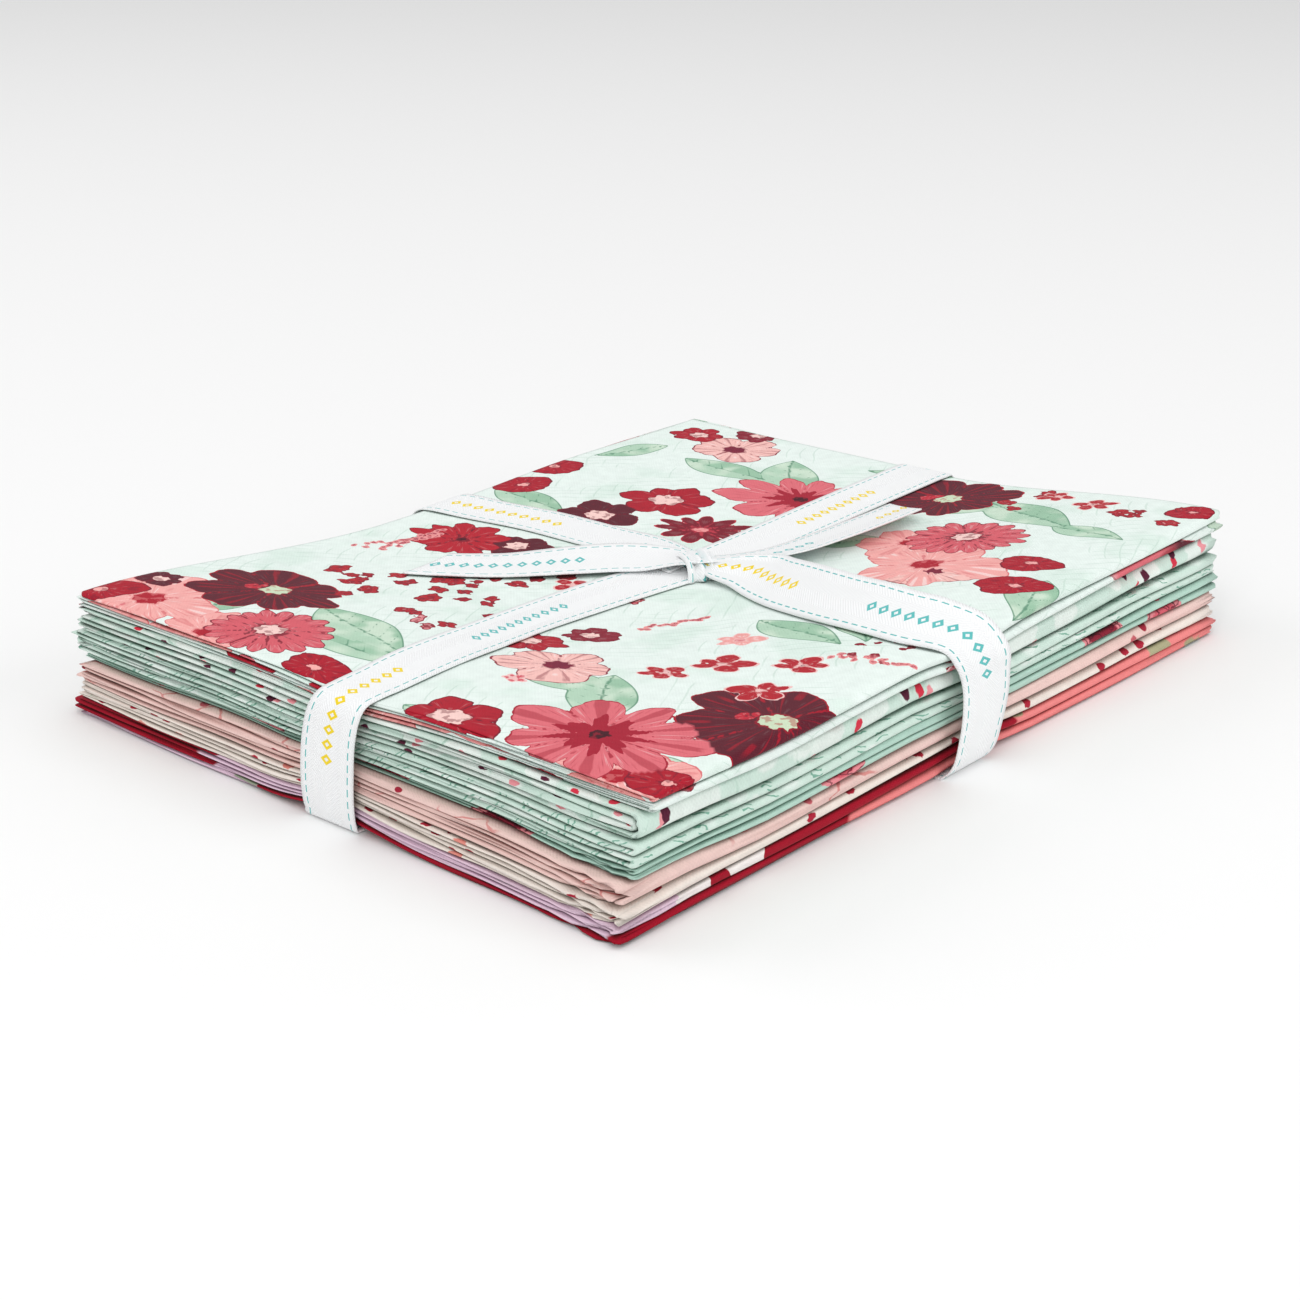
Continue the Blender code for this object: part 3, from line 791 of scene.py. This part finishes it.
def loose_petal_print(node, flat):
    """Loose red and coral petals and thin green stems on cream."""
    hand = wavy(node, flat, 420.0, 0.0028)
    red, _ = scattered(node, hand, 0.0120, 0.0017, 0.1, 0.50)
    coral, _ = scattered(node, hand, 0.0170, 0.0024, 0.6, 0.50)
    stems = outlines(node, hand, 0.014, 0.00035, 0.3, 0.30)
    return lay_inks(node, chosen("cream"), (coral, "#e79488"), (red, "#b3263c"), (stems, "#9fbf9c", 0.7))


# The bottom cut's petals: place along the yard and across the cloth, reach both ways, in m, and ink.
LAVENDER, SHELL, WHITE = "#ecd0e2", "#f48d8c", "#f7f1ee"
LARGE_PETALS = (
    (0.134, 0.290, 0.072, 0.040, LAVENDER), (0.312, 0.288, 0.086, 0.036, LAVENDER),
    (0.602, 0.288, 0.080, 0.040, LAVENDER), (0.880, 0.285, 0.050, 0.050, LAVENDER),
    (0.2285, 0.277, 0.050, 0.022, LAVENDER), (0.2285, 0.250, 0.030, 0.007, WHITE),
    (0.2285, 0.229, 0.030, 0.007, WHITE), (0.2285, 0.045, 0.060, 0.064, SHELL),
    (0.6855, 0.085, 0.060, 0.100, SHELL), (0.800, 0.120, 0.050, 0.060, LAVENDER),
    (0.457, 0.080, 0.060, 0.050, LAVENDER), (0.030, 0.100, 0.060, 0.060, SHELL),
    (0.250, 0.560, 0.090, 0.060, SHELL), (0.700, 0.560, 0.090, 0.060, LAVENDER),
    (0.300, 1.100, 0.100, 0.060, LAVENDER), (0.800, 1.110, 0.070, 0.060, WHITE),
)


def large_petal_print(node, flat):
    """Crimson all over, with very large petals left in lavender, coral and white, and small green leaves."""
    hand = wavy(node, flat, 70.0, 0.012)
    colour, petals = chosen("crimson"), 0.0
    for u, v, reach_u, reach_v, ink in LARGE_PETALS:
        away = node("VectorMath:SUBTRACT", hand, (u, v, 0.0))
        scaled = node("VectorMath:MULTIPLY", away, (1 / reach_u, 1 / reach_v, 0.0))
        petal = node(SMOOTH, node("VectorMath:LENGTH", scaled).outputs["Value"], 1.01, 0.99)
        colour = lay_inks(node, colour, (petal, ink))
        petals = node("Math:MAXIMUM", petal, petals)
    leaves, _ = scattered(node, hand, 0.036, 0.0050, 0.4, 0.6)
    return lay_inks(node, colour, (node("Math:MULTIPLY", leaves, petals), "#9bb58a", 0.8))


PRINTS = (large_floral, cherry_print, sprig_print, sparse_flower_print, pen_stroke_print, loose_petal_print,
          large_petal_print)


def quilting_cotton(cut):
    """Quilting cotton with one cut's print: woven plain, dyed or screen-printed, then pressed flat."""
    draw = PRINTS[cut]
    material, node, flat = new_cloth("quilting_cotton_" + draw.__name__)
    woven_finish(node, flat, draw(node, flat))
    return material


# The ribbon's print, in m: a dashed line in from each edge, and cells with a lozenge along the middle. Of the
# cells to a repeat, the first few are teal and some later ones are yellow.
DASH_IN, DASH_STEP = 0.0021, 0.0037
CELL_STEP, CELLS = 0.0046, 46
LAST_TEAL, FIRST_YELLOW, LAST_YELLOW = 11, 18, 28


def twill_tape(shift=0.0, way=1.0):
    """Cotton twill tape, woven in a herringbone and bleached: slightly glossy ribs that turn at the middle.
    The ribs are 0.5 mm apart, drawn at 1.1 mm so that they show. A row of small lozenges takes turns in
    teal and yellow along the middle, between two dashed teal lines. The print runs out from the knot if way
    is 1 and towards it if way is -1."""
    material, node, flat = new_cloth("herringbone_twill_tape")
    width = sizes().ribbon_width
    split = node("SeparateXYZ", flat)
    across, along = split.outputs[0], node("Math:MULTIPLY_ADD", split.outputs[1], way, shift)
    from_edge = node("Math:MINIMUM", across, node("Math:SUBTRACT", width, across))
    off_line = node("Math:ABSOLUTE", node("Math:SUBTRACT", from_edge, DASH_IN))
    gap = node("Math:FRACT", node("Math:DIVIDE", along, DASH_STEP))
    dashed = node("Math:LESS_THAN", gap, 0.62)
    dashes = node("Math:MULTIPLY", node(SMOOTH, off_line, 0.00028, 0.00016), dashed)
    off_middle = node("Math:ABSOLUTE", node("Math:SUBTRACT", across, width / 2))
    cell = node("Math:FRACT", node("Math:DIVIDE", along, CELL_STEP))
    off_cell = node("Math:ABSOLUTE", node("Math:SUBTRACT", cell, 0.5))
    reach = node("Math:ADD", node("Math:DIVIDE", off_cell, 0.41), node("Math:DIVIDE", off_middle, 0.0025))
    marks = node("Math:MULTIPLY", node(SMOOTH, reach, 1.0, 0.86), node(SMOOTH, reach, 0.30, 0.42))
    repeat = CELLS * CELL_STEP
    place = node("Math:FRACT", node("Math:DIVIDE", node("Math:ADD", along, repeat * 9), repeat))
    teal = node("Math:MULTIPLY", marks, node("Math:LESS_THAN", place, LAST_TEAL / CELLS))
    yellow_part = node("Math:MULTIPLY", node("Math:GREATER_THAN", place, FIRST_YELLOW / CELLS),
                       node("Math:LESS_THAN", place, LAST_YELLOW / CELLS))
    yellow = node("Math:MULTIPLY", marks, yellow_part)
    colour = lay_inks(node, chosen("ribbon"), (dashes, chosen("stitch")), (yellow, "#fadc22"),
                      (teal, "#62c4c3"))
    half = node("Math:PINGPONG", across, width / 4)
    rib = node("Math:SINE", node("Math:MULTIPLY", node("Math:ADD", along, half), TAU / RIB_STEP))
    # Painted shade on the ribs: the colour is darker along each rib's low side, in step with the bump.
    shade = node("MapRange", rib, -1.0, 1.0, 0.935, 1.0)
    fuzz = node("TexNoise", {"Vector": flat, "Scale": 1400.0, "Detail": 2.0})
    height = node("Math:ADD", rib, node("Math:MULTIPLY", fuzz, 0.5))
    shader = node("BsdfPrincipled", {
        "Base Color": node("HueSaturation", {"Color": colour, "Value": shade}), "Roughness": 0.72,
        "IOR": 1.46, "Specular IOR Level": 0.3, "Sheen Weight": 0.15, "Sheen Roughness": 0.4,
        "Normal": node("Bump", {"Height": height, "Strength": 0.5, "Distance": 0.00014})})
    node("OutputMaterial", shader)
    return material


# ---------------------------------------------------------------- ribbon


# The ribbon's middle lies at least this far above the floor, and its stations are this far apart.
FLOOR_GAP = 0.0003
STATION_STEP = 0.0012


def smooth_route(points, step):
    """Points at an even spacing on a smooth curve through the given ones, in their own order."""
    p = np.array(points, float)
    p = np.vstack([2 * p[0] - p[1], p, 2 * p[-1] - p[-2]])
    dense = []
    for a, b, c, d in zip(p[:-3], p[1:-2], p[2:-1], p[3:]):
        for t in np.linspace(0, 1, 24, endpoint=False):
            dense.append(0.5 * (2 * b + (c - a) * t + (2 * a - 5 * b + 4 * c - d) * t * t
                                + (3 * b - a - 3 * c + d) * t ** 3))
    dense = np.array(dense + [p[-2]])
    run = np.concatenate([[0], np.cumsum(np.linalg.norm(np.diff(dense[:, :3], axis=0), axis=1))])
    places = np.linspace(0, run[-1], max(2, math.ceil(run[-1] / step)) + 1)
    return np.stack([np.interp(places, run, dense[:, i]) for i in range(dense.shape[1])], -1)


# How far the ribbon's middle lies above the cloth, in mm.
LIE = 0.6


def on_stack(x, y, lift):
    """A point in metres above the bundle's top, from plan mm and a lift in mm."""
    return [x * MM, y * MM, float(settle(np.array(x * MM), np.array(y * MM), 1.0)) + lift * MM]


def lay_out(first, second, rows):
    """Adds stations to two edges, from rows that hold a point of each in mm."""
    first += [[v * MM for v in row[:3]] for row in rows]
    second += [[v * MM for v in row[3:]] for row in rows]


def ribbon_strip(name, first_edge, second_edge, material, bow=0.0, pleats=0.0, columns=14):
    """A length of ribbon between two edge curves, given at matching points, bowed or pleated across it."""
    both = smooth_route([list(a) + list(b) for a, b in zip(first_edge, second_edge)], STATION_STEP)
    a, b = both[:, :3], both[:, 3:]
    centre = (a + b) / 2
    run = np.concatenate([[0], np.cumsum(np.linalg.norm(np.diff(centre, axis=0), axis=1))])
    across = b - a
    ahead = np.gradient(centre, axis=0)
    normal = np.cross(ahead, across)
    normal /= np.linalg.norm(normal, axis=1)[:, None]
    share = np.linspace(0, 1, columns + 1)
    rise = bow * np.sin(np.pi * share) + pleats * np.sin(3 * TAU * share)
    positions = a[:, None] + across[:, None] * share[None, :, None] + normal[:, None] * rise[None, :, None]
    positions[..., 2] = np.maximum(positions[..., 2], FLOOR_GAP)
    rows = len(a)
    index = np.arange(rows * (columns + 1)).reshape(rows, columns + 1)
    faces = np.stack([index[:-1, :-1], index[:-1, 1:], index[1:, 1:], index[1:, :-1]], -1).reshape(-1, 4)
    width = sizes().ribbon_width
    flat = np.stack(np.meshgrid(run, share * width, indexing="ij")[::-1], -1).reshape(-1, 2)
    thickness = sizes().ribbon_thickness
    piece = make_sheet(name, positions.reshape(-1, 3), faces.tolist(), flat, thickness, material)
    return applied(piece), float(run[-1])


def stand_in(piece, *nodes, length):
    """Hides the CAD nodes that a length of ribbon stands for."""
    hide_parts(*nodes)


def lengthwise_route():
    """Edges of the ribbon that goes round lengthwise, from the knot over the front and back again."""
    top_left = [(-13, 13), (-15, 4), (-17.5, -9), (-19.6, -28), (-18, -54), (-13.5, -80), (-10, -100),
                (-7.6, -118), (-5.8, -132), (-5.0, -141.5)]
    top_right = [(7.5, 11), (5.5, 0), (3, -17), (1.8, -34), (3.3, -60), (7.5, -83), (11, -103),
                 (12.8, -119), (13.5, -132.5), (13.9, -142)]
    left = [on_stack(x, y, LIE) for x, y in top_left]
    right = [on_stack(x, y, LIE) for x, y in top_right]
    front = [(-5.2, -147.4, 38.3, 13.9, -147.7, 38.5), (-6.4, -150.2, 34.4, 13.4, -150.4, 34.4),
             (-8.4, -150.8, 27, 12.0, -151.0, 27), (-9.6, -151.0, 18, 11.3, -151.2, 18),
             (-10.3, -150.6, 9, 10.7, -151.0, 9), (-10.6, -149.2, 2.4, 10.4, -149.8, 2.4)]
    under = [(-10.8, -146, 0.85, 10.2, -146, 0.85), (-12.0, -110, 0.85, 9.0, -110, 0.85),
             (-13.8, -30, 0.85, 7.1, -30, 0.85), (-14.6, 30, 0.85, 6.3, 30, 0.85),
             (-15.2, 110, 0.85, 5.7, 110, 0.85), (-15, 143, 0.85, 5.9, 143, 0.85)]
    back = [(-15, 147.2, 3.5, 6, 147.2, 3.5), (-15, 148.4, 12, 6, 148.4, 12), (-15, 148.2, 22, 6, 148.2, 22),
            (-14.6, 146.6, 29, 6.2, 146.6, 29.4)]
    lay_out(left, right, front + under + back)
    home_left = [(-14.2, 141.5), (-14, 120), (-13.5, 90), (-12.5, 60), (-12, 36), (-12, 14)]
    left += [on_stack(x, y, LIE) for x, y in home_left]
    right += [on_stack(x + 20.8, y, LIE) for x, y in home_left]
    return left, right


def crosswise_route():
    """Edges of the ribbon that goes round crosswise: from the knot to the left, under, and up into the loose
    arch on the right, whose far edge stands clear of the cloth."""
    top_near = [(-4, 1), (-22, 5), (-45, 5), (-70, 4.2), (-92, 0.6), (-109, -2)]
    top_far = [(-5, 20), (-24, 25.5), (-45, 26), (-70, 25.0), (-91, 21.5), (-109, 19)]
    near, far = ([on_stack(x, y, 1.3 if x > -30 else LIE) for x, y in edge] for edge in (top_near, top_far))
    left = [(-114.6, -2.5, 27.6, -114.6, 18.5, 27.4), (-116.6, -2.6, 22, -116.6, 18.4, 22),
            (-117.0, -2.8, 12, -117.0, 18.2, 12), (-115.6, -3, 3.0, -115.6, 18, 3.0),
            (-111, -3.2, 0.3, -111, 17.8, 0.3), (-60, -4.5, 0.3, -60, 16.5, 0.3), (0, -7, 0.3, 0, 14, 0.3),
            (60, -12.5, 0.3, 60, 8.3, 0.3), (107, -16.6, 0.3, 107, 4.0, 0.3)]
    right = [(112.4, -16.8, 0.9, 112.8, 3.6, 0.9), (115.6, -16.2, 5, 116.0, 4.8, 5),
             (116.6, -15.2, 12, 117.0, 6.4, 12),
             (116.6, -13.8, 20, 117.2, 8.6, 20), (115.8, -13.4, 28.5, 117.6, 8.2, 28.5),
             (114.4, -15.6, 35.4, 118.4, 5.6, 36.6)]
    lay_out(near, far, left + right)
    arch = [(110.2, -17.4, 112.8, 2.6, 5.2), (98, -20.0, 101.5, 0.4, 8.0), (88, -19.7, 90.3, -0.5, 8.6),
            (76, -18, 79.0, 0.6, 9.4), (65, -15.5, 69.7, 2.4, 9.8), (53, -12, 58.5, 5.3, 10.3),
            (40, -7.5, 46.8, 9.4, 10.3), (28, -2, 36.0, 14.0, 9.4), (18, 2.5, 27.5, 18.0, 7.8),
            (11, 3.2, 16.0, 15.4, 5.6), (5.4, 4.6, 8.4, 10.8, 3.4), (-1, 6.4, 0.8, 10.2, 1.4)]
    for nx, ny, fx, fy, raised in arch:
        lift = 0.7 + 3.0 * max(0.0, min(1.0, (30 - nx) / 30)) ** 1.5
        base = on_stack(nx, ny, lift)
        near.append(base)
        far.append([fx * MM, fy * MM, base[2] + raised * MM])
    return near, far


def left_tail_route():
    """Edges of the free end that lies to the front left, raised where it crosses the other ribbons."""
    low = [(4, 5.6, 4.6), (-2.0, 2.0, 4.2), (-10, -4.2, 2.2), (-17, -10.2, 1.9), (-26, -19.6, 1.7),
           (-41, -35, 1.0), (-54, -47.5, 0.9), (-64.5, -56.5, 0.9)]
    high = [(0, 13.2, 4.8), (-8.0, 13.4, 4.8), (-19, 10.8, 4.6), (-29, 6.6, 4.0), (-40, -3.2, 3.2),
            (-53.5, -18, 1.8), (-62.5, -25, 1.3), (-69.5, -30, 1.0)]
    return [on_stack(*p) for p in low], [on_stack(*p) for p in high]


def right_tail_route():
    """Edges of the free end that lies to the back, on the lengthwise ribbon, its right edge turned up."""
    left = [(-5, 6.0, 4.2), (-3, 14, 3.4), (2, 24, 2.4), (6.5, 38, 1.7), (8.5, 60, 1.4), (9.5, 82, 1.3),
            (10, 102, 1.3)]
    right = [(5, 3.5, 6.0), (10, 10, 5.8), (19, 20, 5.6), (26, 33, 5.6), (28.6, 55, 5.2), (29.3, 75, 4.8),
             (29, 93, 4.4)]
    return [on_stack(*p) for p in left], [on_stack(*p) for p in right]


def knot_route():
    """Edges of the gathered wrap of the knot: up from behind, over the crossing and down in front of it."""
    middle = [(-5.4, 13.8, 2.6), (-4.4, 13.1, 4.9), (-2.0, 11.5, 5.7), (1.8, 9.0, 5.9), (5.0, 6.8, 5.2),
              (7.0, 5.4, 3.2), (7.6, 5.0, 1.0)]
    half = [5.6, 5.6, 5.2, 5.0, 5.2, 5.6, 6.0]
    first = [on_stack(x - 0.50 * h, y - 0.86 * h, z - 1.0) for (x, y, z), h in zip(middle, half)]
    second = [on_stack(x + 0.50 * h, y + 0.86 * h, z - 0.4) for (x, y, z), h in zip(middle, half)]
    return first, second


# ---------------------------------------------------------------- operators


# Spacing of a cut's grid lines along the yard and across the cloth, in m.
PANEL_STEP = 0.0046
PLY_STEP = 0.0130


class BUNDLE_OT_add_cuts(bpy.types.Operator):
    """Folds the seven cuts of quilting cotton and stacks them"""

    bl_idname = "bundle.add_cuts"
    bl_label = "Add the cuts"

    def execute(self, context):
        for cut, (name, _, _, _) in enumerate(CUTS):
            lines = fold_lines(PANEL, PANEL_STEP, 10), fold_lines(PLY, PLY_STEP, 6)
            fine = (PANEL + HALF_TURN, PLY + HALF_TURN, sizes().motif_step) if cut == 0 else ()
            flat, faces = sheet_grid(*lines, *fine)
            positions = fold_cut(flat[:, 0], flat[:, 1], cut)
            thickness = sizes().cloth_thickness
            piece = make_sheet("cloth_" + name, positions, faces, flat, thickness, quilting_cotton(cut))
            if cut == 0:
                paint_print(piece.data, flat)
            applied(piece)
            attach(piece, STACK)
            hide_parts(name)
        return {"FINISHED"}


class BUNDLE_OT_add_loops(bpy.types.Operator):
    """Runs the ribbon round the bundle both ways"""

    bl_idname = "bundle.add_loops"
    bl_label = "Add the ribbon loops"

    def execute(self, context):
        for name, node, route, shift in (
                ("ribbon_lengthwise", "ribbon_lengthwise_loop", lengthwise_route, -0.054),
                ("ribbon_crosswise", "ribbon_crosswise_loop", crosswise_route, 0.025)):
            first, second = route()
            piece, length = ribbon_strip(name, first, second, twill_tape(shift))
            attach(piece, STACK)
            stand_in(piece, node, length=length)
        return {"FINISHED"}


class BUNDLE_OT_add_knot(bpy.types.Operator):
    """Gathers the ribbon into the knot at the crossing"""

    bl_idname = "bundle.add_knot"
    bl_label = "Add the knot"

    def execute(self, context):
        first, second = knot_route()
        piece, length = ribbon_strip("ribbon_knot_wrap", first, second, twill_tape(0.02), 0.0006, 0.0009, 40)
        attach(piece, STACK)
        stand_in(piece, "ribbon_knot", length=length)
        return {"FINISHED"}


class BUNDLE_OT_add_tails(bpy.types.Operator):
    """Adds the two free ends at the knot"""

    bl_idname = "bundle.add_tails"
    bl_label = "Add the ribbon ends"

    def execute(self, context):
        for body, route, heading, shift, way in (
                ("left_tail", left_tail_route, 220, 0.088, -1.0),
                ("right_tail", right_tail_route, 77, 0.003, 1.0)):
            first, second = route()
            tape = twill_tape(shift, way)
            piece, length = ribbon_strip("ribbon_" + body + "_end", first, second, tape, 0.0004)
            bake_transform(piece)
            stand_in(piece, "ribbon_" + body, length=length)
        return {"FINISHED"}


class BUNDLE_OT_add_stage(bpy.types.Operator):
    """Sets up the floor, the soft light and the camera"""

    bl_idname = "bundle.add_stage"
    bl_label = "Add the stage"

    def execute(self, context):
        scene = context.scene
        mesh = bpy.data.meshes.new("floor")
        mesh.from_pydata([(-3, -3, 0), (3, -3, 0), (3, 3, 0), (-3, 3, 0)], [], [(0, 1, 2, 3)])
        floor = bpy.data.objects.new("floor", mesh)
        scene.collection.objects.link(floor)
        mesh.materials.append(paper_floor())
        for name, place, size, power in (
                ("key_light", (0.9, -1.5, 1.6), 1.4, 15.0), ("fill_light", (-1.6, -0.7, 1.2), 1.4, 7.0),
                ("side_light", (1.8, 0.4, 1.0), 1.2, 8.0), ("top_light", (0.0, 0.3, 2.2), 2.2, 11.0)):
            light = bpy.data.lights.new(name, "AREA")
            light.energy, light.size = power, size
            lamp = bpy.data.objects.new(name, light)
            lamp.location = place
            lamp.rotation_mode = "QUATERNION"
            lamp.rotation_quaternion = Vector(place).to_track_quat("Z", "Y")
            scene.collection.objects.link(lamp)
        world = bpy.data.worlds.new("studio")
        world.use_nodes = True
        background = world.node_tree.nodes["Background"]
        background.inputs["Color"].default_value = (1, 1, 1, 1)
        background.inputs["Strength"].default_value = 0.56
        scene.world = world
        scene.view_settings.view_transform = "Standard"
        scene.camera = studio_camera(scene)
        return {"FINISHED"}


def paper_floor():
    """White seamless paper, matt: it gives an even pale ground with only a soft contact shadow."""
    material, node = new_material("seamless_paper")
    finish = {"Base Color": linear("#f8f8f8"), "Roughness": 0.95, "Specular IOR Level": 0.1}
    node("OutputMaterial", node("BsdfPrincipled", finish))
    return material


def studio_camera(scene):
    """A camera above the near corner, level, looking down on the bundle."""
    azimuth, elevation = math.radians(40.0), math.radians(21.7)
    back = Vector((math.sin(azimuth) * math.cos(elevation), -math.cos(azimuth) * math.cos(elevation),
                   math.sin(elevation)))
    data = bpy.data.cameras.new("camera")
    data.sensor_width, data.lens = 36.0, 69.23
    data.clip_start, data.clip_end = 0.01, 20.0
    camera = bpy.data.objects.new("camera", data)
    camera.location = (0.4675, -0.5702, 0.2999)
    camera.rotation_mode = "QUATERNION"
    camera.rotation_quaternion = back.to_track_quat("Z", "Y")
    scene.collection.objects.link(camera)
    return camera


class BUNDLE_PT_panel(bpy.types.Panel):
    """Lists the bundle's sizes, colours and steps in the sidebar"""

    bl_idname = "BUNDLE_PT_panel"
    bl_label = "Fabric bundle"
    bl_space_type = "VIEW_3D"
    bl_region_type = "UI"
    bl_category = "Bundle"

    def draw(self, context):
        for group in (context.scene.bundle_sizes, context.scene.bundle_colours):
            for name in type(group).__annotations__:
                self.layout.prop(group, name)
        for operator in OPERATORS:
            self.layout.operator(operator.bl_idname)


OPERATORS = (BUNDLE_OT_add_cuts, BUNDLE_OT_add_loops, BUNDLE_OT_add_knot, BUNDLE_OT_add_tails,
             BUNDLE_OT_add_stage)
CLASSES = (BundleSizes, BundleColours) + OPERATORS + (BUNDLE_PT_panel,)


def register():
    for cls in CLASSES:
        bpy.utils.register_class(cls)
    bpy.types.Scene.bundle_sizes = bpy.props.PointerProperty(type=BundleSizes)
    bpy.types.Scene.bundle_colours = bpy.props.PointerProperty(type=BundleColours)


def unregister():
    del bpy.types.Scene.bundle_colours
    del bpy.types.Scene.bundle_sizes
    for cls in reversed(CLASSES):
        bpy.utils.unregister_class(cls)


def main():
    register()
    bpy.ops.bundle.add_cuts()
    bpy.ops.bundle.add_loops()
    bpy.ops.bundle.add_knot()
    bpy.ops.bundle.add_tails()
    bpy.ops.bundle.add_stage()


if __name__ == "__main__":
    main()
